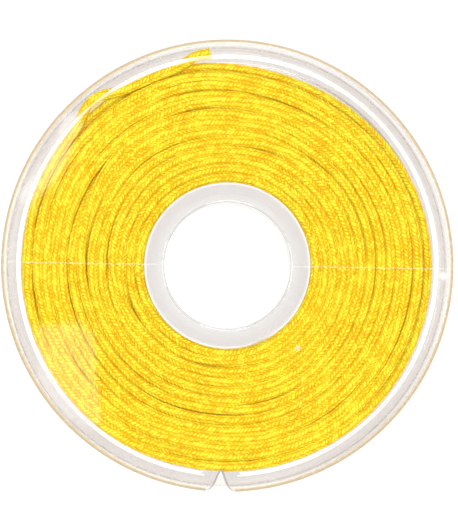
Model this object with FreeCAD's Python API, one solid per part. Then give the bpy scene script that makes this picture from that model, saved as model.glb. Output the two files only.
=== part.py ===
import FreeCAD, Part
import math
import os

# A clear plastic cord spool, wound with braided cord. It lies on its rear flange with its axis along +Z,
# and its origin is on the axis in the plane that it rests on. Lengths are in millimetres, angles in degrees.
# Angles are measured about +Z from +X, seen from the front (from above).

# Flanges
FLANGE_DIAMETER = 68.0
FLANGE_THICKNESS = 1.5
RIM_HEIGHT = 0.9            # how far the raised rim stands out of the flange's outer face
RIM_WIDTH = 2.55            # radial width of the raised rim, from its inner wall to the flange's edge
RIM_OUTER_ROUND = 0.8       # rounding of the rim's outer corner
RIM_INNER_ROUND = 0.25      # rounding of the rim's inner corner
RIM_FOOT_FILLET = 0.4       # fillet between the flange's outer face and the rim's inner wall
EDGE_ROUND = 0.3            # rounding of the flange's edge, on the side of the winding

# Hub: one thick tube, half of it on each flange. The rear half's spigot fits into the front half's socket.
BORE_DIAMETER = 19.0
HUB_WALL = 3.0
SPIGOT_WALL = 1.5
SPIGOT_LENGTH = 1.2
SPIGOT_CLEARANCE = 0.02     # radial gap round the spigot; the halves' end faces touch
BORE_LEAD_IN = 0.3          # chamfer at both mouths of the bore

# Winding space and cord
WINDING_WIDTH = 18.2        # clear distance between the two flanges
FREE_RIM = 3.6              # how far the flanges stand above the wound cord
CORD_DIAMETER = 1.5
WINDING_CLEARANCE = 0.02    # radial gap between the winding's solid and the drum

# Catch notch in the front flange, and the gap in the raised rim beside it
NOTCH_ANGLE = 268.2
NOTCH_DEPTH = 2.95          # at the flange's inner face
NOTCH_HALF_ANGLE = 22.0
NOTCH_TIP_RADIUS = 0.15     # at the flange's inner face
NOTCH_LIP_HEIGHT = 1.2      # the outer part of the depth, where the lips flare out to the flange's edge
NOTCH_DRAFT = 0.53          # how much wider each flank is at the rim's top than at the flange's inner face
RIM_GAP_WIDTH = 4.4
RIM_GAP_CORNER = 0.7        # rounding of the rim's inner corners beside the gap

# Witness marks of the moulding on the front half
FLOW_LINE_ANGLE = -0.9
FLOW_LINE_WIDTH = 0.14
FLOW_LINE_HEIGHT = 0.05
GATE_ANGLE = -2.8
GATE_LENGTH = 1.8           # along the rim
GATE_WIDTH = 0.9            # across the rim
GATE_DEPTH = 0.2

# The cord's free end. For each point of its route: the angle, the lift above lying on the winding (negative
# where it lies in the groove that it has pressed into it), and the gap to the front flange's inner face.
TAIL_ROUTE = (
    (168.0, -0.70, 0.35),
    (160.0, -0.72, 0.80),
    (152.0, -0.75, 1.10),
    (144.5, -0.72, 0.90),
    (137.5, -0.50, 0.40),
    (131.5, 0.95, 0.05),
    (127.0, 0.95, 0.05),
    (121.0, -0.50, 0.10),
    (112.0, -0.65, 0.15),
    (103.0, -0.35, 0.10),
    (98.5, 0.95, 0.05),
    (94.5, 1.00, 0.10),
)

# Sizes worked out from the values above
FLANGE_RADIUS = FLANGE_DIAMETER / 2
BORE_RADIUS = BORE_DIAMETER / 2
SPIGOT_RADIUS = BORE_RADIUS + SPIGOT_WALL
SOCKET_RADIUS = SPIGOT_RADIUS + SPIGOT_CLEARANCE
DRUM_RADIUS = BORE_RADIUS + HUB_WALL
RIM_WALL_RADIUS = FLANGE_RADIUS - RIM_WIDTH
FLANGE_HEIGHT = FLANGE_THICKNESS + RIM_HEIGHT
WINDING_RADIUS = FLANGE_RADIUS - FREE_RIM
REAR_INNER_FACE = FLANGE_HEIGHT
FRONT_INNER_FACE = REAR_INNER_FACE + WINDING_WIDTH
SHOULDER = (REAR_INNER_FACE + FRONT_INNER_FACE - SPIGOT_LENGTH) / 2
SPIGOT_TIP = SHOULDER + SPIGOT_LENGTH

AXIS = FreeCAD.Vector(0, 0, 1)
ORIGIN = FreeCAD.Vector(0, 0, 0)


def vector(x, y, z=0.0):
    return FreeCAD.Vector(x, y, z)


def bend(start, centre, end):
    """The shorter arc from start to end about centre."""
    middle = (start + end) * 0.5 - centre
    middle.normalize()
    radius = (start - centre).Length
    return Part.Arc(start, centre + middle * radius, end).toShape()


def outline(steps):
    """A closed wire through steps: a point is reached by a straight line, a (centre, point) pair by an arc."""
    edges = []
    here = steps[0]
    for step in steps[1:]:
        if isinstance(step, tuple):
            centre, there = step
            edges.append(bend(here, centre, there))
        else:
            there = step
            edges.append(Part.LineSegment(here, there).toShape())
        here = there
    if not here.isEqual(steps[0], 1e-6):
        edges.append(Part.LineSegment(here, steps[0]).toShape())
    return Part.Wire(edges)


def turned(steps):
    """The solid that an outline in the XZ plane sweeps when it is turned about the axis."""
    return Part.Face(outline(steps)).revolve(ORIGIN, AXIS, 360)


def ring(inner_radius, outer_radius, low, high):
    """A plain tube about the axis."""
    return turned([
        vector(inner_radius, 0, low),
        vector(outer_radius, 0, low),
        vector(outer_radius, 0, high),
        vector(inner_radius, 0, high),
    ])


def flange():
    """A flange with its raised rim. Its inner face is at z = 0 and its rim points to +Z."""
    hole_radius = BORE_RADIUS
    edge = FLANGE_RADIUS
    wall = RIM_WALL_RADIUS
    face = FLANGE_THICKNESS
    top = FLANGE_HEIGHT
    return turned([
        vector(hole_radius, 0, 0),
        vector(edge - EDGE_ROUND, 0, 0),
        (vector(edge - EDGE_ROUND, 0, EDGE_ROUND), vector(edge, 0, EDGE_ROUND)),
        vector(edge, 0, top - RIM_OUTER_ROUND),
        (vector(edge - RIM_OUTER_ROUND, 0, top - RIM_OUTER_ROUND), vector(edge - RIM_OUTER_ROUND, 0, top)),
        vector(wall + RIM_INNER_ROUND, 0, top),
        (vector(wall + RIM_INNER_ROUND, 0, top - RIM_INNER_ROUND), vector(wall, 0, top - RIM_INNER_ROUND)),
        vector(wall, 0, face + RIM_FOOT_FILLET),
        (vector(wall - RIM_FOOT_FILLET, 0, face + RIM_FOOT_FILLET), vector(wall - RIM_FOOT_FILLET, 0, face)),
        vector(hole_radius + BORE_LEAD_IN, 0, face),
        vector(hole_radius, 0, face - BORE_LEAD_IN),
    ])


def notch_outline(growth, height):
    """The V notch with its rounded tip and flared lips, opening towards +X, with its flanks moved out by growth."""
    slope = math.radians(NOTCH_HALF_ANGLE)
    tip_radius = NOTCH_TIP_RADIUS + growth
    tip_centre = vector(FLANGE_RADIUS - NOTCH_DEPTH + NOTCH_TIP_RADIUS, 0)
    tip = tip_centre - vector(tip_radius, 0)
    flank_start = tip_centre + vector(-math.sin(slope), math.cos(slope)) * tip_radius
    lip_start_x = FLANGE_RADIUS - NOTCH_LIP_HEIGHT
    lip_start = vector(lip_start_x, flank_start.y + (lip_start_x - flank_start.x) * math.tan(slope))
    lip_radius = NOTCH_LIP_HEIGHT / (1 - math.sin(slope))
    lip_centre = lip_start + vector(-math.sin(slope), math.cos(slope)) * lip_radius
    lip_end = lip_centre + vector(lip_radius, 0)
    mouth = lip_end + vector(1, 0)

    def mirrored(point):
        return vector(point.x, -point.y)

    wire = outline([
        flank_start,
        lip_start,
        (lip_centre, lip_end),
        mouth,
        mirrored(mouth),
        mirrored(lip_end),
        (mirrored(lip_centre), mirrored(lip_start)),
        mirrored(flank_start),
        (tip_centre, tip),
        (tip_centre, flank_start),
    ])
    wire.translate(AXIS * height)
    return wire


def notch_cutter():
    """What the notch takes out of the flange: its flanks lean outwards towards the rim's top."""
    low = notch_outline(0, 0)
    high = notch_outline(NOTCH_DRAFT, FLANGE_HEIGHT)
    return Part.makeLoft([low, high], True, True)


def rim_gap_cutter():
    """The gap in the raised rim beside the notch, with rounded inner corners, opening towards +X."""
    half = RIM_GAP_WIDTH / 2
    inner = RIM_WALL_RADIUS - RIM_FOOT_FILLET - 1
    corner = RIM_GAP_CORNER
    corner_x = math.sqrt((RIM_WALL_RADIUS + corner) ** 2 - (half + corner) ** 2)
    corner_centre = vector(corner_x, half + corner)
    wall_contact = corner_centre * (RIM_WALL_RADIUS / (RIM_WALL_RADIUS + corner))
    gap_side = vector(corner_x, half)
    outside = FLANGE_RADIUS + 1

    def mirrored(point):
        return vector(point.x, -point.y)

    wire = outline([
        vector(inner, wall_contact.y),
        wall_contact,
        (corner_centre, gap_side),
        vector(outside, half),
        vector(outside, -half),
        mirrored(gap_side),
        (mirrored(corner_centre), mirrored(wall_contact)),
        vector(inner, -wall_contact.y),
    ])
    cutter = Part.Face(wire).extrude(AXIS * (RIM_HEIGHT + 1))
    cutter.translate(AXIS * FLANGE_THICKNESS)
    return cutter


def at_angle(shape, angle):
    shape.rotate(ORIGIN, AXIS, angle)
    return shape


def flow_line():
    """Two fine raised lines on the flange's outer face, from the hub out to the rim, on one diameter."""
    start = DRUM_RADIUS
    length = RIM_WALL_RADIUS - RIM_FOOT_FILLET - start
    lines = []
    for side in (0, 180):
        line = Part.makeBox(length, FLOW_LINE_WIDTH, FLOW_LINE_HEIGHT + FLANGE_THICKNESS / 2)
        line.translate(vector(start, -FLOW_LINE_WIDTH / 2, FLANGE_THICKNESS / 2))
        lines.append(at_angle(line, FLOW_LINE_ANGLE + side))
    return lines


def gate_mark():
    """The shallow oval left by the gate, on top of the rim."""
    middle = FLANGE_RADIUS - (RIM_WIDTH + RIM_OUTER_ROUND - RIM_INNER_ROUND) / 2
    oval = Part.Ellipse(vector(middle, 0), GATE_LENGTH / 2, GATE_WIDTH / 2).toShape()
    oval.rotate(vector(middle, 0), AXIS, 90)
    cutter = Part.Face(Part.Wire([oval])).extrude(AXIS * (GATE_DEPTH + 1))
    cutter.translate(AXIS * (FLANGE_HEIGHT - GATE_DEPTH))
    return at_angle(cutter, GATE_ANGLE)


def front_half():
    """The notched front flange with its half of the hub, one moulding."""
    body = flange()
    for line in flow_line():
        body = body.fuse(line)
    body = body.cut(at_angle(rim_gap_cutter(), NOTCH_ANGLE))
    body = body.cut(at_angle(notch_cutter(), NOTCH_ANGLE))
    body = body.cut(gate_mark())
    body.translate(AXIS * FRONT_INNER_FACE)
    root = FRONT_INNER_FACE + FLANGE_THICKNESS / 2
    tube = ring(BORE_RADIUS, DRUM_RADIUS, SPIGOT_TIP, root)
    socket = ring(SOCKET_RADIUS, DRUM_RADIUS, SHOULDER, SPIGOT_TIP)
    return body.fuse(tube).fuse(socket).removeSplitter()


def rear_half():
    """The rear flange with its half of the hub and the spigot that plugs into the socket, one moulding."""
    body = flange()
    body.rotate(ORIGIN, vector(1, 0, 0), 180)
    body.translate(AXIS * REAR_INNER_FACE)
    root = REAR_INNER_FACE - FLANGE_THICKNESS / 2
    tube = ring(BORE_RADIUS, DRUM_RADIUS, root, SHOULDER)
    spigot = ring(BORE_RADIUS, SPIGOT_RADIUS, SHOULDER, SPIGOT_TIP)
    return body.fuse(tube).fuse(spigot).removeSplitter()


def cord_winding(tail):
    """The outer shape of the wound cord, between the flanges, with the groove that its free end lies in."""
    wound = ring(DRUM_RADIUS + WINDING_CLEARANCE, WINDING_RADIUS, REAR_INNER_FACE, FRONT_INNER_FACE)
    return wound.cut(tail)


def tail_points():
    points = []
    for angle, lift, gap in TAIL_ROUTE:
        radius = WINDING_RADIUS + CORD_DIAMETER / 2 + lift
        height = FRONT_INNER_FACE - gap - CORD_DIAMETER / 2
        turn = math.radians(angle)
        points.append(vector(radius * math.cos(turn), radius * math.sin(turn), height))
    return points


def cord_path(points):
    """Straight runs joined by tangent arcs, each arc as large as its two runs allow."""
    edges = []
    radii = []
    here = points[0]
    for before, corner, after in zip(points, points[1:], points[2:]):
        back = before - corner
        ahead = after - corner
        shorter = min(back.Length, ahead.Length)
        back.normalize()
        ahead.normalize()
        half_turn = (math.pi - back.getAngle(ahead)) / 2
        reach = 0.45 * shorter
        radius = reach / math.tan(half_turn)
        start = corner + back * reach
        end = corner + ahead * reach
        inward = back + ahead
        inward.normalize()
        middle = corner + inward * (radius / math.cos(half_turn) - radius)
        edges.append(Part.LineSegment(here, start).toShape())
        edges.append(Part.Arc(start, middle, end).toShape())
        radii.append(radius)
        here = end
    edges.append(Part.LineSegment(here, points[-1]).toShape())
    return Part.Wire(edges), radii


def cord_tail():
    """The cord's free end, which leaves the winding and lies on it."""
    path, radii = cord_path(tail_points())
    first = path.Edges[0]
    start = first.valueAt(first.FirstParameter)
    direction = first.tangentAt(first.FirstParameter)
    section = Part.Wire([Part.makeCircle(CORD_DIAMETER / 2, start, direction)])
    tube = path.makePipeShell([section], True, True)
    area = math.pi * (CORD_DIAMETER / 2) ** 2
    print("cord_tail: length", round(path.Length, 2), "radii", [round(radius, 1) for radius in radii])
    print("cord_tail: volume over section times length", round(tube.Volume / (area * path.Length), 4))
    return tube


def main():
    os.makedirs("parts", exist_ok=True)
    tail = cord_tail()
    nodes = {
        "front_half": front_half(),
        "rear_half": rear_half(),
        "cord_winding": cord_winding(tail),
        "cord_tail": tail,
    }
    for name, shape in nodes.items():
        box = shape.BoundBox
        print(name, shape.isValid(), "solids", len(shape.Solids), "volume", round(shape.Volume, 1),
              "z", round(box.ZMin, 3), round(box.ZMax, 3), "r", round(box.XMax, 3))
        shape.exportStep("parts/" + name + ".step")


main()
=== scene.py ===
import math

import bmesh
import bpy
from mathutils import Matrix, Vector, noise


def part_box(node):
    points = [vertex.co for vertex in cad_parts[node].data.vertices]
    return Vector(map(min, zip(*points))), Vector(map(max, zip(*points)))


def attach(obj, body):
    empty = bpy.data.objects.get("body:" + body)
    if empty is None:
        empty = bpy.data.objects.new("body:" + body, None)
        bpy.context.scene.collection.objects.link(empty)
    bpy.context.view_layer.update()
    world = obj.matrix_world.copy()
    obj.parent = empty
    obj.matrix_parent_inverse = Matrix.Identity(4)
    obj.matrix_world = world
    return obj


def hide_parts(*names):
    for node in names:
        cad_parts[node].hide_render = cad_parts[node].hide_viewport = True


# A clear plastic cord spool lying on a white table, seen from nearly straight above. Its two mouldings are
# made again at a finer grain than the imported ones. The cord is one continuous length, wound on the hub layer
# by layer. Lengths are in metres, or in millimetres where a comment says so.

MM = 0.001
TURN = 2 * math.pi

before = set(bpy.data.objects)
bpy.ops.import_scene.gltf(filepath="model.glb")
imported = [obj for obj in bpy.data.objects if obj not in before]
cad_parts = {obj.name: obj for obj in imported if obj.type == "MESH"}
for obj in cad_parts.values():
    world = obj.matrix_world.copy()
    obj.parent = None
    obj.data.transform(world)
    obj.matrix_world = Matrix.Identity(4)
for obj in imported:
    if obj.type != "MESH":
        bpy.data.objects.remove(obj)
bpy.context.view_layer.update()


def radii_of(node):
    """Smallest and largest distance of a node's surface from the spool's axis."""
    distances = [math.hypot(v.co.x, v.co.y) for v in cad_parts[node].data.vertices]
    return min(distances), max(distances)


# Places taken from the frame
DRUM_RADIUS, WINDING_RADIUS = radii_of("cord_winding")
FLANGE_RADIUS = radii_of("rear_half")[1]
REAR_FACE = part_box("cord_winding")[0].z
FRONT_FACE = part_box("cord_winding")[1].z
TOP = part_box("front_half")[1].z

# The cord
CORD_DIAMETER = 1.5 * MM
LAYERS = 13
TURNS_PER_LAYER = 12
FLATTENING = 1.03           # how much wider than high the cord is pressed in the winding


# ---------------------------------------------------------------- camera, lights and stage

def aim(ob, target):
    """Turns a camera or lamp to face target, with +Y as near to the top of its view as it can be."""
    back = (ob.location - Vector(target)).normalized()
    right = Vector((0, 1, 0)).cross(back).normalized()
    ob.rotation_euler = Matrix((right, back.cross(right), back)).transposed().to_euler()


def make_camera():
    """Looks down the spool's axis from a little to the left and below, so that the bore's far mouth shows."""
    distance = 0.75
    picture_width = 68.7 * MM
    foot = (-6.6 * MM, -6.6 * MM)
    picture_middle = (0.24 * MM, 0.07 * MM, TOP)
    data = bpy.data.cameras.new("camera")
    data.sensor_fit = "HORIZONTAL"
    data.sensor_width = 36
    data.lens = data.sensor_width * distance / picture_width
    data.clip_start = 0.01
    data.clip_end = 20
    camera = bpy.data.objects.new("camera", data)
    bpy.context.scene.collection.objects.link(camera)
    camera.location = (*foot, TOP + distance)
    aim(camera, picture_middle)
    bpy.context.scene.camera = camera


def area_light(name, place, target, size, power):
    data = bpy.data.lights.new(name, "AREA")
    data.shape = "RECTANGLE"
    data.size, data.size_y = size
    data.energy = power
    light = bpy.data.objects.new(name, data)
    bpy.context.scene.collection.objects.link(light)
    light.location = place
    aim(light, target)
    return light


def make_lights():
    """Soft panels in a high and a low ring, with none over the spool, and two glares on its face."""
    target = (0, 0, 0.01)
    for name, x, y, z, size, power in (
        ("high_left", -0.33, 0.02, 0.84, 0.34, 1.55),
        ("high_right", 0.33, 0.02, 0.84, 0.34, 1.45),
        ("high_far", 0.02, 0.35, 0.84, 0.34, 1.55),
        ("high_near", -0.02, -0.35, 0.84, 0.34, 1.45),
        ("low_left", -0.62, 0.10, 0.55, 0.5, 1.90),
        ("low_right", 0.62, 0.06, 0.55, 0.5, 1.80),
        ("low_far", 0.05, 0.66, 0.55, 0.5, 1.90),
        ("low_near", -0.05, -0.66, 0.55, 0.5, 1.80),
    ):
        area_light(name, (x, y, z), target, (size, size), power)
    # a wide glare on the lower left of the front flange, and a narrow one on its upper left, beside the rim
    for name, x, y, size, power, turn in (
        ("glare_near", -0.041, -0.027, (0.019, 0.028), 0.0019, 0),
        ("glare_far", -0.0464, 0.0372, (0.006, 0.032), 0.0013, -30),
    ):
        glare = area_light(name, (x, y, TOP + 0.75), (x, y, 0), size, power)
        glare.rotation_euler.z += math.radians(turn)


def make_world():
    """A sky that is bright near the horizon and dark overhead."""
    world = bpy.data.worlds.new("studio")
    bpy.context.scene.world = world
    world.use_nodes = True
    tree = world.node_tree
    direction = tree.nodes.new("ShaderNodeTexCoord").outputs["Generated"]
    parts = tree.nodes.new("ShaderNodeSeparateXYZ")
    ramp = tree.nodes.new("ShaderNodeValToRGB")
    low, overhead = ramp.color_ramp.elements
    low.color = (0.95, 0.95, 0.95, 1)
    overhead.position = 0.97
    overhead.color = (0.12, 0.12, 0.12, 1)
    high = ramp.color_ramp.elements.new(0.75)
    high.color = (0.8, 0.8, 0.79, 1)
    tree.links.new(direction, parts.inputs[0])
    tree.links.new(parts.outputs["Z"], ramp.inputs[0])
    tree.links.new(ramp.outputs["Color"], tree.nodes["Background"].inputs["Color"])
    tree.nodes["Background"].inputs["Strength"].default_value = 0.8


def make_floor():
    """A white table that glows evenly, so that it is as white as the spool's surroundings should be."""
    size = 2.0
    mesh = bpy.data.meshes.new("floor")
    mesh.from_pydata(
        [(-size, -size, 0), (size, -size, 0), (size, size, 0), (-size, size, 0)], [], [(0, 1, 2, 3)]
    )
    floor = bpy.data.objects.new("floor", mesh)
    bpy.context.scene.collection.objects.link(floor)
    material = bpy.data.materials.new("table_white")
    material.use_nodes = True
    shader = material.node_tree.nodes["Principled BSDF"]
    shader.inputs["Base Color"].default_value = (0.25, 0.25, 0.25, 1)
    shader.inputs["Roughness"].default_value = 0.9
    shader.inputs["Emission Color"].default_value = (1, 1, 1, 1)
    shader.inputs["Emission Strength"].default_value = 0.86
    mesh.materials.append(material)


# ---------------------------------------------------------------- the cord's route

# Outer radius of the winding round the spool: angle in degrees, radius in millimetres
OUTLINE = (
    (0, 30.95), (25, 30.8), (44, 30.5), (56, 30.1), (72, 29.95), (82, 30.3), (92, 31.0), (104, 31.2),
    (122, 31.2), (129, 31.8), (137, 31.2), (165, 31.1), (180, 31.2), (230, 31.2), (250, 31.05),
    (270, 31.1), (315, 31.1), (340, 30.9),
)

# Where the cord climbs from each layer to the next one, in turns before or after its even share
CLIMB_SHIFTS = (0.10, -0.22, 0.34, 0.05, -0.30, 0.20, 0.42, -0.12, -0.38, 0.15, 0.30, -0.05)

# The free end's route, as in part.py: angle in degrees, and in millimetres the lift above lying on the
# winding and the gap to the front flange
TAIL_ROUTE = (
    (168.0, -0.70, 0.35),
    (160.0, -0.72, 0.80),
    (152.0, -0.75, 1.10),
    (144.5, -0.72, 0.90),
    (137.5, -0.50, 0.40),
    (131.5, 0.95, 0.05),
    (127.0, 0.95, 0.05),
    (121.0, -0.50, 0.10),
    (112.0, -0.65, 0.15),
    (103.0, -0.35, 0.10),
    (98.5, 0.95, 0.05),
    (94.5, 1.00, 0.10),
)
POINTS_PER_TURN = 16
NURBS_SHRINK = 0.981        # radius of the spline round such a turn, over that of its control points
CLIMB_SPAN = 0.15           # turns that a climb to the next layer takes
STEP_SPAN = 0.10            # turns that a step to the next row takes
END_ROW_SPAN = 1.03         # turns that the row against a flange takes
UNFILLED = 0.6              # turns that the last layer lacks
LAY_GAP = 0.01 * MM         # from the outermost rows to the flanges, and from the first layer to the hub
WANDER = 0.42               # how far a layer strays from its round path, in millimetres
JITTER = 0.24               # how far one turn strays from its layer, in millimetres
SLACK = 0.02                # how far the row against a flange always stands off it, in millimetres
SLACK_SPREAD = 0.3          # and how much further it may stand off, in millimetres


def smooth(x):
    x = min(max(x, 0.0), 1.0)
    return x * x * (3 - 2 * x)


def outline_radius(angle):
    """Outer radius of the winding at an angle in degrees."""
    angle %= 360
    points = OUTLINE + ((360 + OUTLINE[0][0], OUTLINE[0][1]),)
    spans = zip(points, points[1:])
    (a, low), (b, high) = next(span for span in spans if span[0][0] <= angle <= span[1][0])
    return (low + (high - low) * smooth((angle - a) / (b - a))) * MM


def staircase(x, knots, span):
    """0 before the first knot, then one more after each, with a smooth step as long as span at each one."""
    return sum(smooth((x - knot) / span + 0.5) for knot in knots)


def row_knots(start, span):
    """The turns at which a layer that starts at start and takes span turns steps to its next row."""
    first = start + END_ROW_SPAN
    last = start + span - END_ROW_SPAN
    steps = TURNS_PER_LAYER - 2
    return [first + (last - first) * i / steps for i in range(steps + 1)]


CLIMBS = [(i + 1) * TURNS_PER_LAYER + shift for i, shift in enumerate(CLIMB_SHIFTS)]
TOTAL_TURNS = LAYERS * TURNS_PER_LAYER - UNFILLED
START_ANGLE = TAIL_ROUTE[0][0] / 360 + TOTAL_TURNS


def winding_point(turn):
    """Control point of the cord's middle after so many turns on the hub."""
    layer = min(sum(turn >= climb for climb in CLIMBS), LAYERS - 1)
    edges = [0.0] + CLIMBS + [LAYERS * TURNS_PER_LAYER]
    start, end = edges[layer], edges[layer + 1]
    level = staircase(turn, CLIMBS, CLIMB_SPAN)
    row = staircase(turn, row_knots(start, end - start), STEP_SPAN)
    if layer % 2:
        row = TURNS_PER_LAYER - 1 - row
    angle = (START_ANGLE - turn) * TURN
    place = Vector((math.cos(angle), math.sin(angle), 0))
    half = CORD_DIAMETER / 2 + LAY_GAP
    inner = DRUM_RADIUS + half * FLATTENING
    outer = outline_radius(math.degrees(angle)) - half * FLATTENING
    # the layers two thirds of the way out stray most, the first one not at all, and the last one half as much
    looseness = 0.5 - 0.5 * math.cos(TURN * min(level, LAYERS - 1) / (LAYERS - 1) * 0.75)
    wander = noise.noise(Vector((place.x * 1.9, place.y * 1.9, level * 0.33)))
    jitter = noise.noise(Vector((place.x * 2.6 + 9, place.y * 2.6, level * 1.7 + row * 0.7)))
    radius = inner + (outer - inner) * level / (LAYERS - 1)
    radius += (WANDER * wander + JITTER * jitter) * looseness * MM
    slack = noise.noise(Vector((place.x * 1.7, place.y * 1.7 + 4, level * 1.9)))
    gap = SLACK + SLACK_SPREAD * max(0.0, slack)
    height = REAR_FACE + half + (FRONT_FACE - REAR_FACE - CORD_DIAMETER) * row / (TURNS_PER_LAYER - 1)
    edge_share = abs(2 * row / (TURNS_PER_LAYER - 1) - 1) ** 6
    height -= math.copysign(gap * edge_share * MM, row - (TURNS_PER_LAYER - 1) / 2)
    return place * (radius / NURBS_SHRINK) + Vector((0, 0, height))


def cord_route():
    """The control points of the whole cord, from its end on the hub to its free end."""
    count = int(TOTAL_TURNS * POINTS_PER_TURN)
    points = [winding_point(TOTAL_TURNS * i / count) for i in range(count)]
    for angle, lift, gap in TAIL_ROUTE:
        turn = math.radians(angle)
        radius = WINDING_RADIUS + CORD_DIAMETER / 2 + lift * MM
        height = FRONT_FACE - CORD_DIAMETER / 2 - gap * MM
        points.append(Vector((radius * math.cos(turn), radius * math.sin(turn), height)))
    return points


def spline_points(points, resolution):
    """Points along the smooth line that has these control points."""
    curve = bpy.data.curves.new("route", "CURVE")
    curve.dimensions = "3D"
    curve.resolution_u = resolution
    spline = curve.splines.new("NURBS")
    spline.points.add(len(points) - 1)
    for control, point in zip(spline.points, points):
        control.co = (*point, 1)
    spline.order_u = 3
    spline.use_endpoint_u = True
    holder = bpy.data.objects.new("route", curve)
    mesh = bpy.data.meshes.new_from_object(holder)
    line = [v.co.copy() for v in mesh.vertices]
    bpy.data.objects.remove(holder)
    bpy.data.curves.remove(curve)
    bpy.data.meshes.remove(mesh)
    return line


SPLINE_RESOLUTION = 3
SIDES = 12
PICK = 0.60 * MM            # length of one stitch of the braid
UV_WRAP = 64                # stitches after which the texture's count along the cord starts again


def tube(name, line, radius, breadth):
    """A tube along line, radius high and breadth times as wide. Its UV map counts the braid's stitches along
    the cord, and turns once round it."""
    vertices = []
    faces = []
    loops = []
    along = 0.0
    counts = [0.0]
    for a, b in zip(line, line[1:]):
        along += (b - a).length
        counts.append(along / PICK)
    for i, point in enumerate(line):
        before = line[max(i - 1, 0)]
        after = line[min(i + 1, len(line) - 1)]
        tangent = (after - before).normalized()
        up = (Vector((0, 0, 1)) - tangent * tangent.z).normalized()
        side = tangent.cross(up)
        for j in range(SIDES):
            turn = TURN * j / SIDES
            across = side * (radius * breadth * math.sin(turn))
            vertices.append(point + up * (radius * math.cos(turn)) + across)
    for i in range(len(line) - 1):
        low = counts[i] % UV_WRAP
        high = low + counts[i + 1] - counts[i]
        for j in range(SIDES):
            k = (j + 1) % SIDES
            faces.append((i * SIDES + j, i * SIDES + k, (i + 1) * SIDES + k, (i + 1) * SIDES + j))
            loops += [(low, j / SIDES), (low, (j + 1) / SIDES), (high, (j + 1) / SIDES), (high, j / SIDES)]
    for ring, order in ((0, -1), (len(line) - 1, 1)):
        first = ring * SIDES
        faces.append(tuple(range(first, first + SIDES))[::order])
        loops += [(counts[ring] % UV_WRAP, 0.0)] * SIDES
    mesh = bpy.data.meshes.new(name)
    mesh.from_pydata(vertices, [], faces)
    layer = mesh.uv_layers.new(name="braid")
    layer.data.foreach_set("uv", [value for pair in loops for value in pair])
    mesh.polygons.foreach_set("use_smooth", [True] * (len(faces) - 2) + [False, False])
    ob = bpy.data.objects.new(name, mesh)
    bpy.context.scene.collection.objects.link(ob)
    return ob


# ---------------------------------------------------------------- the two mouldings

# Sizes of the mouldings that the frame doesn't state, in millimetres and degrees, as in part.py
FLANGE_THICKNESS = 1.5
RIM_HEIGHT = 0.9
RIM_WIDTH = 2.55
RIM_OUTER_ROUND = 0.8
RIM_INNER_ROUND = 0.25
RIM_FOOT_FILLET = 0.4
EDGE_ROUND = 0.3
BORE_RADIUS = 9.5
SPIGOT_RADIUS = 11.0
DRUM_OUTER_RADIUS = 12.5
SPIGOT_LENGTH = 1.2
JOINT_GAP = 0.01            # keeps the two clear surfaces apart where the halves of the hub meet
LEAD_IN = 0.3
NOTCH_ANGLE = 268.2
NOTCH_DEPTH = 2.95
NOTCH_HALF_ANGLE = 22.0
NOTCH_TIP_RADIUS = 0.15
NOTCH_LIP_HEIGHT = 1.2
NOTCH_DRAFT = 0.53
RIM_GAP_WIDTH = 4.4
RIM_GAP_CORNER = 0.7
FLOW_LINE_ANGLE = -0.9
FLOW_LINE_WIDTH = 0.14
FLOW_LINE_HEIGHT = 0.05
GATE_ANGLE = -2.8
GATE_LENGTH = 1.8
GATE_WIDTH = 0.9
GATE_DEPTH = 0.2
OVERCUT = 0.5               # how far a cutting tool reaches past the face that it cuts
EDGE_OVERCUT = 1.0          # the same, past the flange's edge and the rim's top
GAP_CUT_HEIGHT = 3.0        # of the tool that opens the rim gap, from the flange's outer face
SEGMENTS = 480              # of each circle about the axis
CORNER_STEPS = 8            # of each rounding
SHARP_ANGLE = 28            # faces that meet at more than this many degrees keep a crisp edge between them
SUPPORT = 0.03              # width of the strip that keeps a flat face's shading flat beside a rounding


def arc(centre, start, end, steps=CORNER_STEPS):
    """Points of the shorter arc from start to end about centre."""
    a = math.atan2(start[1] - centre[1], start[0] - centre[0])
    b = math.atan2(end[1] - centre[1], end[0] - centre[0])
    sweep = (b - a + math.pi) % TURN - math.pi
    radius = math.dist(start, centre)
    angles = [a + sweep * i / steps for i in range(steps + 1)]
    return [(centre[0] + radius * math.cos(t), centre[1] + radius * math.sin(t)) for t in angles]


def flange_steps(radius):
    """A flange's outline from the winding side's edge, over the rim, to the mouth of the bore."""
    wall = radius - RIM_WIDTH
    face = FLANGE_THICKNESS
    top = face + RIM_HEIGHT
    corner = radius - RIM_OUTER_ROUND
    lip = wall + RIM_INNER_ROUND
    foot = wall - RIM_FOOT_FILLET
    return [
        (radius - EDGE_ROUND - SUPPORT, 0),
        *arc((radius - EDGE_ROUND, EDGE_ROUND), (radius - EDGE_ROUND, 0), (radius, EDGE_ROUND)),
        (radius, EDGE_ROUND + SUPPORT),
        (radius, top - RIM_OUTER_ROUND - SUPPORT),
        *arc((corner, top - RIM_OUTER_ROUND), (radius, top - RIM_OUTER_ROUND), (corner, top)),
        (corner - SUPPORT, top),
        (lip + SUPPORT, top),
        *arc((lip, top - RIM_INNER_ROUND), (lip, top), (wall, top - RIM_INNER_ROUND)),
        *arc((foot, face + RIM_FOOT_FILLET), (wall, face + RIM_FOOT_FILLET), (foot, face)),
        (foot - SUPPORT, face),
        (BORE_RADIUS + LEAD_IN, face),
        (BORE_RADIUS, face - LEAD_IN),
    ]


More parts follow.
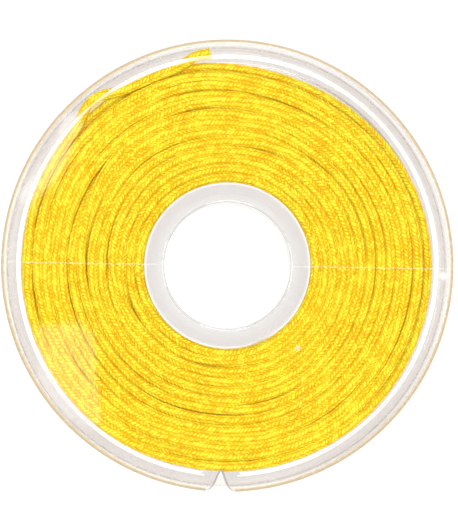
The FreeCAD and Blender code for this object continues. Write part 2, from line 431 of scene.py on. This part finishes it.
def lathe(name, profile):
    """The solid swept by a closed (radius, height) outline, in millimetres, turned about the axis."""
    count = len(profile)
    vertices = []
    for i in range(SEGMENTS):
        turn = TURN * i / SEGMENTS
        vertices += [(r * MM * math.cos(turn), r * MM * math.sin(turn), z * MM) for r, z in profile]
    faces = []
    for i in range(SEGMENTS):
        here = i * count
        there = (i + 1) % SEGMENTS * count
        for j in range(count):
            k = (j + 1) % count
            faces.append((here + j, there + j, there + k, here + k))
    return solid(name, vertices, faces)


def prism(name, outline, low, high, angle, upper=None):
    """The solid between an outline in the XY plane, in millimetres, and the same or an upper one above it."""
    count = len(outline)
    turn = Matrix.Rotation(math.radians(angle), 3, "Z")
    vertices = [turn @ Vector((x * MM, y * MM, low * MM)) for x, y in outline]
    vertices += [turn @ Vector((x * MM, y * MM, high * MM)) for x, y in upper or outline]
    faces = [tuple(range(count))[::-1], tuple(range(count, 2 * count))]
    for i in range(count):
        j = (i + 1) % count
        faces.append((i, j, count + j, count + i))
    return solid(name, vertices, faces)


def solid(name, vertices, faces):
    """A closed mesh whose faces all look outwards."""
    mesh = bpy.data.meshes.new(name)
    mesh.from_pydata(vertices, [], faces)
    shape = bmesh.new()
    shape.from_mesh(mesh)
    bmesh.ops.recalc_face_normals(shape, faces=shape.faces)
    shape.to_mesh(mesh)
    shape.free()
    ob = bpy.data.objects.new(name, mesh)
    bpy.context.scene.collection.objects.link(ob)
    return ob


def shaped(ob, *steps):
    """The object after boolean steps, with its sharp edges kept. A step is an operation and a tool, which is
    used up."""
    for operation, tool in steps:
        modifier = ob.modifiers.new("step", "BOOLEAN")
        modifier.operation = operation
        modifier.solver = "EXACT"
        modifier.object = tool
    bpy.context.view_layer.update()
    mesh = bpy.data.meshes.new_from_object(ob.evaluated_get(bpy.context.evaluated_depsgraph_get()))
    ob.modifiers.clear()
    ob.data = mesh
    for _, tool in steps:
        bpy.data.objects.remove(tool)
    mesh.polygons.foreach_set("use_smooth", [True] * len(mesh.polygons))
    mesh.set_sharp_from_angle(angle=math.radians(SHARP_ANGLE))
    return ob


def notch_outline(radius, growth):
    """The V notch with a rounded tip and flared lips, opening towards +X, its flanks moved out by growth."""
    slope = math.radians(NOTCH_HALF_ANGLE)
    rounding = NOTCH_TIP_RADIUS + growth
    tip = (radius - NOTCH_DEPTH + NOTCH_TIP_RADIUS, 0)
    x = tip[0] - rounding * math.sin(slope)
    y = rounding * math.cos(slope)
    lip_x = radius - NOTCH_LIP_HEIGHT
    lip_y = y + (lip_x - x) * math.tan(slope)
    flare = NOTCH_LIP_HEIGHT / (1 - math.sin(slope))
    centre = (lip_x - flare * math.sin(slope), lip_y + flare * math.cos(slope))
    upper = arc(centre, (lip_x, lip_y), (centre[0] + flare, centre[1]), 10)
    upper.append((radius + EDGE_OVERCUT, centre[1]))
    lower = [(a, -b) for a, b in reversed(upper)]
    apex = (tip[0] - rounding, 0)
    return upper + lower + arc(tip, (x, -y), apex, 5)[:-1] + arc(tip, apex, (x, y), 5)


def rim_gap_outline(radius):
    """The gap in the raised rim beside the notch, with rounded inner corners, opening towards +X."""
    half = RIM_GAP_WIDTH / 2
    wall = radius - RIM_WIDTH
    corner = RIM_GAP_CORNER
    x = math.sqrt((wall + corner) ** 2 - (half + corner) ** 2)
    centre = (x, half + corner)
    share = wall / (wall + corner)
    contact = (x * share, centre[1] * share)
    upper = [
        (wall - RIM_FOOT_FILLET - EDGE_OVERCUT, contact[1]),
        *arc(centre, contact, (x, half)),
        (radius + EDGE_OVERCUT, half),
    ]
    return upper + [(a, -b) for a, b in reversed(upper)]


def is_notch_flank(face):
    """True for the steep faces of the catch notch, which lean back a little from the view."""
    place = Matrix.Rotation(-math.radians(NOTCH_ANGLE), 3, "Z") @ face.center
    reach = (NOTCH_DEPTH + 0.65) * MM
    half_width = 3.2 * MM
    near = place.x > FLANGE_RADIUS - reach and abs(place.y) < half_width and place.z > FRONT_FACE
    return near and 0.1 < face.normal.z < 0.4


def flow_line(radius, outside, angle):
    """The tool that adds one half of the flow line to the front face."""
    start = DRUM_OUTER_RADIUS
    end = radius - RIM_WIDTH - RIM_FOOT_FILLET
    half = FLOW_LINE_WIDTH / 2
    line = [(start, -half), (end, -half), (end, half), (start, half)]
    root = 0.4
    return prism("line", line, outside - root, outside + FLOW_LINE_HEIGHT, angle)


def notch(radius, inside, rim_top):
    """The tool that cuts the catch notch."""
    low = inside - OVERCUT
    high = rim_top + OVERCUT
    per_height = NOTCH_DRAFT / (rim_top - inside)
    outline = notch_outline(radius, per_height * (low - inside))
    upper = notch_outline(radius, per_height * (high - inside))
    return prism("notch", outline, low, high, NOTCH_ANGLE, upper)


def gate(radius, rim_top):
    """The tool that cuts the oval gate mark into the rim's top."""
    middle = radius - (RIM_WIDTH + RIM_OUTER_ROUND - RIM_INNER_ROUND) / 2
    turns = [TURN * i / 32 for i in range(32)]
    oval = [(middle + GATE_WIDTH / 2 * math.cos(t), GATE_LENGTH / 2 * math.sin(t)) for t in turns]
    return prism("gate", oval, rim_top - GATE_DEPTH, rim_top + EDGE_OVERCUT, GATE_ANGLE)


def front_moulding(radius, inside, shoulder):
    """The front half: its flange with rim, notch and marks, and the half of the hub that has the socket."""
    tip = shoulder + SPIGOT_LENGTH
    outline = [(r, inside + z) for r, z in flange_steps(radius)]
    outline += [
        (BORE_RADIUS, tip + JOINT_GAP),
        (SPIGOT_RADIUS + JOINT_GAP, tip + JOINT_GAP),
        (SPIGOT_RADIUS + JOINT_GAP, shoulder + JOINT_GAP),
        (DRUM_OUTER_RADIUS, shoulder + JOINT_GAP),
        (DRUM_OUTER_RADIUS, inside),
    ]
    outside = inside + FLANGE_THICKNESS
    rim_top = outside + RIM_HEIGHT
    return shaped(
        lathe("front_moulding", outline),
        ("UNION", flow_line(radius, outside, FLOW_LINE_ANGLE)),
        ("UNION", flow_line(radius, outside, FLOW_LINE_ANGLE + 180)),
        ("DIFFERENCE", prism("gap", rim_gap_outline(radius), outside, outside + GAP_CUT_HEIGHT, NOTCH_ANGLE)),
        ("DIFFERENCE", notch(radius, inside, rim_top)),
        ("DIFFERENCE", gate(radius, rim_top)),
    )


def rear_moulding(radius, inside, shoulder):
    """The rear half: its plain flange with rim, and the half of the hub that ends in the spigot."""
    tip = shoulder + SPIGOT_LENGTH
    outline = [(r, inside - z) for r, z in flange_steps(radius)]
    outline += [
        (BORE_RADIUS, tip),
        (SPIGOT_RADIUS, tip),
        (SPIGOT_RADIUS, shoulder),
        (DRUM_OUTER_RADIUS, shoulder),
        (DRUM_OUTER_RADIUS, inside),
    ]
    return shaped(lathe("rear_moulding", outline))


def make_mouldings():
    """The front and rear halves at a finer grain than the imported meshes, so that clear walls look smooth."""
    radius = FLANGE_RADIUS / MM
    low = REAR_FACE / MM
    high = FRONT_FACE / MM
    shoulder = (low + high - SPIGOT_LENGTH) / 2
    front_half = front_moulding(radius, high, shoulder)
    rear_half = rear_moulding(radius, low, shoulder)
    polished = clear_plastic("clear_polystyrene", 0.0)
    # the notch's steep flanks get painted shade: a dark brown laid nearly opaque over the plastic
    notch_painted_shade = clear_plastic("clear_polystyrene_notch_painted_shade", 0.95)
    for ob, node in ((front_half, "front_half"), (rear_half, "rear_half")):
        ob.data.materials.clear()
        ob.data.materials.append(polished)
        ob.data.materials.append(notch_painted_shade)
        for face in ob.data.polygons:
            face.material_index = int(is_notch_flank(face))
        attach(ob, "root")
        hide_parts(node)


# ---------------------------------------------------------------- materials

class Nodes:
    """Short calls for building a material's node tree."""

    def __init__(self, name):
        self.material = bpy.data.materials.new(name)
        self.material.use_nodes = True
        self.tree = self.material.node_tree
        self.shader = self.tree.nodes["Principled BSDF"]
        self.output = self.tree.nodes["Material Output"]

    def add(self, kind, inputs=(), **settings):
        node = self.tree.nodes.new("ShaderNode" + kind)
        for key, value in settings.items():
            setattr(node, key, value)
        for socket, value in dict(inputs).items():
            self.feed(node.inputs[socket], value)
        return node

    def feed(self, socket, value):
        if isinstance(value, bpy.types.NodeSocket):
            self.tree.links.new(value, socket)
        elif isinstance(value, bpy.types.Node):
            self.tree.links.new(value.outputs[0], socket)
        else:
            socket.default_value = value

    def maths(self, operation, *values, clamp=False):
        return self.add("Math", dict(enumerate(values)), operation=operation, use_clamp=clamp)

    def noise(self, scale, detail=2.0, vector=None, roughness=0.5):
        inputs = {"Scale": scale, "Detail": detail, "Roughness": roughness}
        if vector is not None:
            inputs["Vector"] = vector
        return self.add("TexNoise", inputs)

    def step(self, value, low, high, start=0.0, end=1.0):
        """Goes smoothly from start, where value is under low, to end, where it is over high."""
        limits = {"Value": value, "From Min": low, "From Max": high, "To Min": start, "To Max": end}
        return self.add("MapRange", limits, interpolation_type="SMOOTHSTEP")

    def product(self, first, *others):
        for other in others:
            first = self.maths("MULTIPLY", first, other)
        return first

    def distance(self, place, point):
        return self.add("VectorMath", {0: place, 1: point}, operation="DISTANCE").outputs["Value"]

    def blend(self, factor, first, second):
        node = self.add("Mix", data_type="RGBA")
        self.feed(node.inputs[0], factor)
        self.feed(node.inputs[6], first)
        self.feed(node.inputs[7], second)
        return node.outputs[2]


def cord_material():
    """A braid: columns of slanted stitches round the cord, which lean to the left and right in turn."""
    n = Nodes("yellow_braided_cord")
    columns = 6
    uv = n.add("UVMap", uv_map="braid")
    parts = n.add("SeparateXYZ", {0: uv.outputs["UV"]})
    place = n.add("TexCoord").outputs["Object"]

    # which column of stitches, how far across it, and which way it leans; the cord rolls slowly as it lies
    roll = n.noise(60.0, 1.0, place)
    sway = n.noise(800.0, 2.0, place)
    column = n.maths("ADD", n.maths("MULTIPLY", parts.outputs["Y"], columns), n.maths("MULTIPLY", roll, 2.2))
    column = n.maths("ADD", column, n.maths("MULTIPLY", sway, 0.7))
    across = n.maths("SUBTRACT", n.maths("FRACT", column), 0.5)
    half_column = n.maths("MULTIPLY", n.maths("FLOOR", column), 0.5)
    odd = n.maths("GREATER_THAN", n.maths("FRACT", half_column), 0.25)
    lean = n.maths("SUBTRACT", n.maths("MULTIPLY", odd, 2.0), 1.0)

    # which stitch along the column, and how high its rounded back stands at this place
    shift = n.maths("MULTIPLY", n.maths("MULTIPLY", across, lean), 0.95)
    along = n.maths("ADD", n.maths("ADD", parts.outputs["X"], shift), n.maths("MULTIPLY", odd, 0.5))
    along = n.maths("ADD", along, n.maths("MULTIPLY", sway, 0.9))
    phase = n.maths("SUBTRACT", n.maths("MULTIPLY", n.maths("FRACT", along), 2.0), 1.0)
    ply = n.maths("SUBTRACT", 1.0, n.maths("POWER", n.maths("ABSOLUTE", phase), 2.0))
    edge = n.maths("ABSOLUTE", n.maths("MULTIPLY", across, 2.0))
    flank = n.maths("SUBTRACT", 1.0, n.maths("POWER", edge, 2.5))
    height = n.maths("MULTIPLY", ply, flank, clamp=True)
    fibres = n.noise(9000.0, 2.0, place)
    relief = n.maths("ADD", n.maths("POWER", height, 0.6), n.maths("MULTIPLY", fibres, 0.15))
    bump = n.add("Bump", {"Strength": 1.0, "Distance": 0.13 * MM, "Height": relief})

    # colour by the stitches' height: painted shade in the valleys between stitches and painted light on their
    # crests, with a chance brightness for each stitch that paints scattered glints, and soft patches
    cell = n.add("CombineXYZ", {0: n.maths("FLOOR", along), 1: n.maths("FLOOR", column)})
    painted_glint_chance = n.add("TexWhiteNoise", {"Vector": cell}, noise_dimensions="2D").outputs["Value"]
    patches = n.noise(240.0, 3.0, place)
    tone = n.maths("ADD", height, n.maths("MULTIPLY", n.maths("SUBTRACT", painted_glint_chance, 0.5), 0.8))
    tone = n.maths("ADD", tone, n.maths("MULTIPLY", n.maths("SUBTRACT", patches, 0.5), 0.5))
    ramp = n.add("ValToRGB", {0: tone})
    painted_shade_valley, painted_light_crest = ramp.color_ramp.elements
    painted_shade_valley.color = (0.78, 0.42, 0.0, 1)
    painted_light_crest.position = 0.85
    painted_light_crest.color = (0.85, 0.83, 0.05, 1)
    middle = ramp.color_ramp.elements.new(0.40)
    middle.color = (0.79, 0.61, 0.0, 1)
    n.feed(n.shader.inputs["Base Color"], ramp)
    n.feed(n.shader.inputs["Normal"], bump)
    n.feed(n.shader.inputs["Roughness"], n.maths("ADD", 0.35, n.maths("MULTIPLY", patches, 0.3)))
    n.shader.inputs["Specular IOR Level"].default_value = 0.16

    # a faint orange glow painted into the cord: it lifts the shade in the gaps between the turns in place of
    # the light that bounces off and shines through the fibres
    n.shader.inputs["Emission Color"].default_value = (1.0, 0.46, 0.0, 1)
    n.shader.inputs["Emission Strength"].default_value = 0.09
    return n.material


def front_marks_and_highlight(n, place, x, y, z, radius):
    """How cloudy the front face is, from 0 to 1: its flow line, worn hub ring, speck and gate mark, and a
    painted highlight on the drum's outer edge.
    """
    streaks = n.noise(2600.0, 3.0, place, 0.7)
    slope = math.tan(math.radians(FLOW_LINE_ANGLE))
    off_line = n.maths("ABSOLUTE", n.maths("SUBTRACT", y, n.maths("MULTIPLY", x, slope)))
    line = n.product(
        n.step(off_line, 0.04 * MM, 0.13 * MM, 1.0, 0.0),
        n.step(radius, 9.4 * MM, 10.5 * MM),
        n.step(streaks, 0.30, 0.60, 0.25, 1.0),
    )
    to_lower_right = n.maths("ADD", x, n.maths("MULTIPLY", y, -1.2))
    worn = n.product(
        n.step(radius, 10.6 * MM, 11.2 * MM),
        n.step(radius, 12.0 * MM, 12.5 * MM, 1.0, 0.0),
        n.step(streaks, 0.60, 0.72),
        n.step(to_lower_right, 14 * MM, 17 * MM),
    )
    speck = n.distance(place, Vector((10.6 * MM, -12.4 * MM, TOP - 0.9 * MM)))
    gate_turn = math.radians(GATE_ANGLE)
    gate_radius = FLANGE_RADIUS - 1.6 * MM
    gate_place = Vector((gate_radius * math.cos(gate_turn), gate_radius * math.sin(gate_turn), TOP))
    to_gate = n.distance(place, gate_place)
    # painted highlight: a thin pale ring on the drum's outer edge, where the hub's fillet catches the light
    painted_hub_edge_highlight = n.product(n.step(radius, 12.1 * MM, 12.25 * MM), n.step(radius, 12.42 * MM, 12.5 * MM, 1.0, 0.0))
    milky_and_painted_light = n.maths("ADD", n.maths("MULTIPLY", line, 0.22), n.maths("MULTIPLY", worn, 0.5))
    milky_and_painted_light = n.maths("ADD", milky_and_painted_light, n.step(speck, 0.15 * MM, 0.55 * MM, 0.35, 0.0))
    milky_and_painted_light = n.maths("ADD", milky_and_painted_light, n.step(to_gate, 0.3 * MM, 0.9 * MM, 0.4, 0.0))
    milky_and_painted_light = n.maths("ADD", milky_and_painted_light, n.maths("MULTIPLY", painted_hub_edge_highlight, 0.25))
    front = n.step(z, TOP - 2.3 * MM, TOP - 2.1 * MM)
    return n.maths("MULTIPLY", milky_and_painted_light, front, clamp=True)


def painted_edge_light(n, z, radius, milky_and_painted_light):
    """Adds painted light to the cloudy marks: a tan glow painted on the front rim's rounding, and a grey line
    of painted shade on the bore's mouth.
    Returns how cloudy the plastic is then, and the colour laid over it."""
    # painted light: a tan glow on the front rim's rounding, the cord's colour that the clear edge carries
    # round to it
    rounding = n.step(z, TOP - 0.80 * MM, TOP - 0.62 * MM)
    edge = n.product(n.step(radius, FLANGE_RADIUS - 0.65 * MM, FLANGE_RADIUS - 0.4 * MM), rounding)
    milky_and_painted_light = n.maths("MAXIMUM", milky_and_painted_light, n.maths("MULTIPLY", edge, 0.85))
    overlay_colour = n.blend(edge, (0.95, 0.94, 0.90, 1), (0.38, 0.27, 0.14, 1))
    # painted shade: a grey line on the lead-in at the bore's mouth
    lead_in = n.step(z, TOP - 1.30 * MM, TOP - 1.22 * MM)
    painted_mouth_line = n.product(n.step(radius, 9.66 * MM, 9.76 * MM, 1.0, 0.0), lead_in)
    milky_and_painted_light = n.maths("MAXIMUM", milky_and_painted_light, n.maths("MULTIPLY", painted_mouth_line, 0.7))
    return milky_and_painted_light, n.blend(painted_mouth_line, overlay_colour, (0.30, 0.31, 0.28, 1))


def clear_plastic(name, painted_shade_cover):
    """Polished polystyrene with faint waviness and the marks of moulding and wear, with painted light and
    shade laid over them. With a cover over 0, it is that cloudy all over instead, in a dark brown that paints
    shade on the notch's steep flanks."""
    n = Nodes(name)
    place = n.add("TexCoord").outputs["Object"]
    x, y, z = n.add("SeparateXYZ", {0: place}).outputs
    radius = n.maths("SQRT", n.maths("ADD", n.maths("MULTIPLY", x, x), n.maths("MULTIPLY", y, y)))
    if painted_shade_cover:
        milky_and_painted_light = painted_shade_cover
        # painted shade for the notch's steep flanks
        overlay_colour = (0.12, 0.08, 0.056, 1)
        clearness = 1 - painted_shade_cover
    else:
        milky_and_painted_light, overlay_colour = painted_edge_light(n, z, radius, front_marks_and_highlight(n, place, x, y, z, radius))
        clearness = n.maths("SUBTRACT", 1.0, milky_and_painted_light)

    # the hub's ring gets painted shade, near white at the bore and greyer towards the drum, and the flange has
    # a faint tint
    hub = n.step(radius, 9.4 * MM, 12.0 * MM)
    hub_painted_shade = n.blend(hub, (0.99, 0.98, 0.975, 1), (0.955, 0.935, 0.925, 1))
    colour = n.blend(n.step(radius, 12.6 * MM, 12.8 * MM), hub_painted_shade, (0.87, 0.845, 0.835, 1))
    n.feed(n.shader.inputs["Base Color"], n.blend(milky_and_painted_light, colour, overlay_colour))
    n.feed(n.shader.inputs["Transmission Weight"], clearness)
    n.shader.inputs["IOR"].default_value = 1.57
    scuffs = n.noise(900.0, 3.0, place, 0.6)
    outer_edge = n.step(radius, FLANGE_RADIUS - 0.75 * MM, FLANGE_RADIUS - 0.45 * MM, 0.0, 0.25)
    rough = n.maths("ADD", n.step(scuffs, 0.55, 0.8, 0.02, 0.10), outer_edge)
    n.feed(n.shader.inputs["Roughness"], rough)
    waves = n.noise(70.0, 1.0, place)
    bump = n.add("Bump", {"Strength": 0.12, "Distance": 0.3 * MM, "Height": waves})
    n.feed(n.shader.inputs["Normal"], bump)

    # shadow rays go straight through, so the plastic casts only a faint shadow
    lamp = n.add("LightPath")
    clear = n.add("BsdfTransparent", {"Color": (0.93, 0.93, 0.92, 1)})
    mix = n.add("MixShader", {0: lamp.outputs["Is Shadow Ray"], 1: n.shader.outputs[0], 2: clear.outputs[0]})
    n.feed(n.output.inputs["Surface"], mix)
    return n.material


# ---------------------------------------------------------------- putting it together

def make_cord():
    line = spline_points(cord_route(), SPLINE_RESOLUTION)
    cord = tube("cord", line, CORD_DIAMETER / 2, FLATTENING)
    cord.data.materials.append(cord_material())
    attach(cord, "root")
    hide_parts("cord_winding", "cord_tail")


bpy.context.scene.view_settings.view_transform = "Standard"
make_camera()
make_cord()
make_mouldings()
make_lights()
make_world()
make_floor()
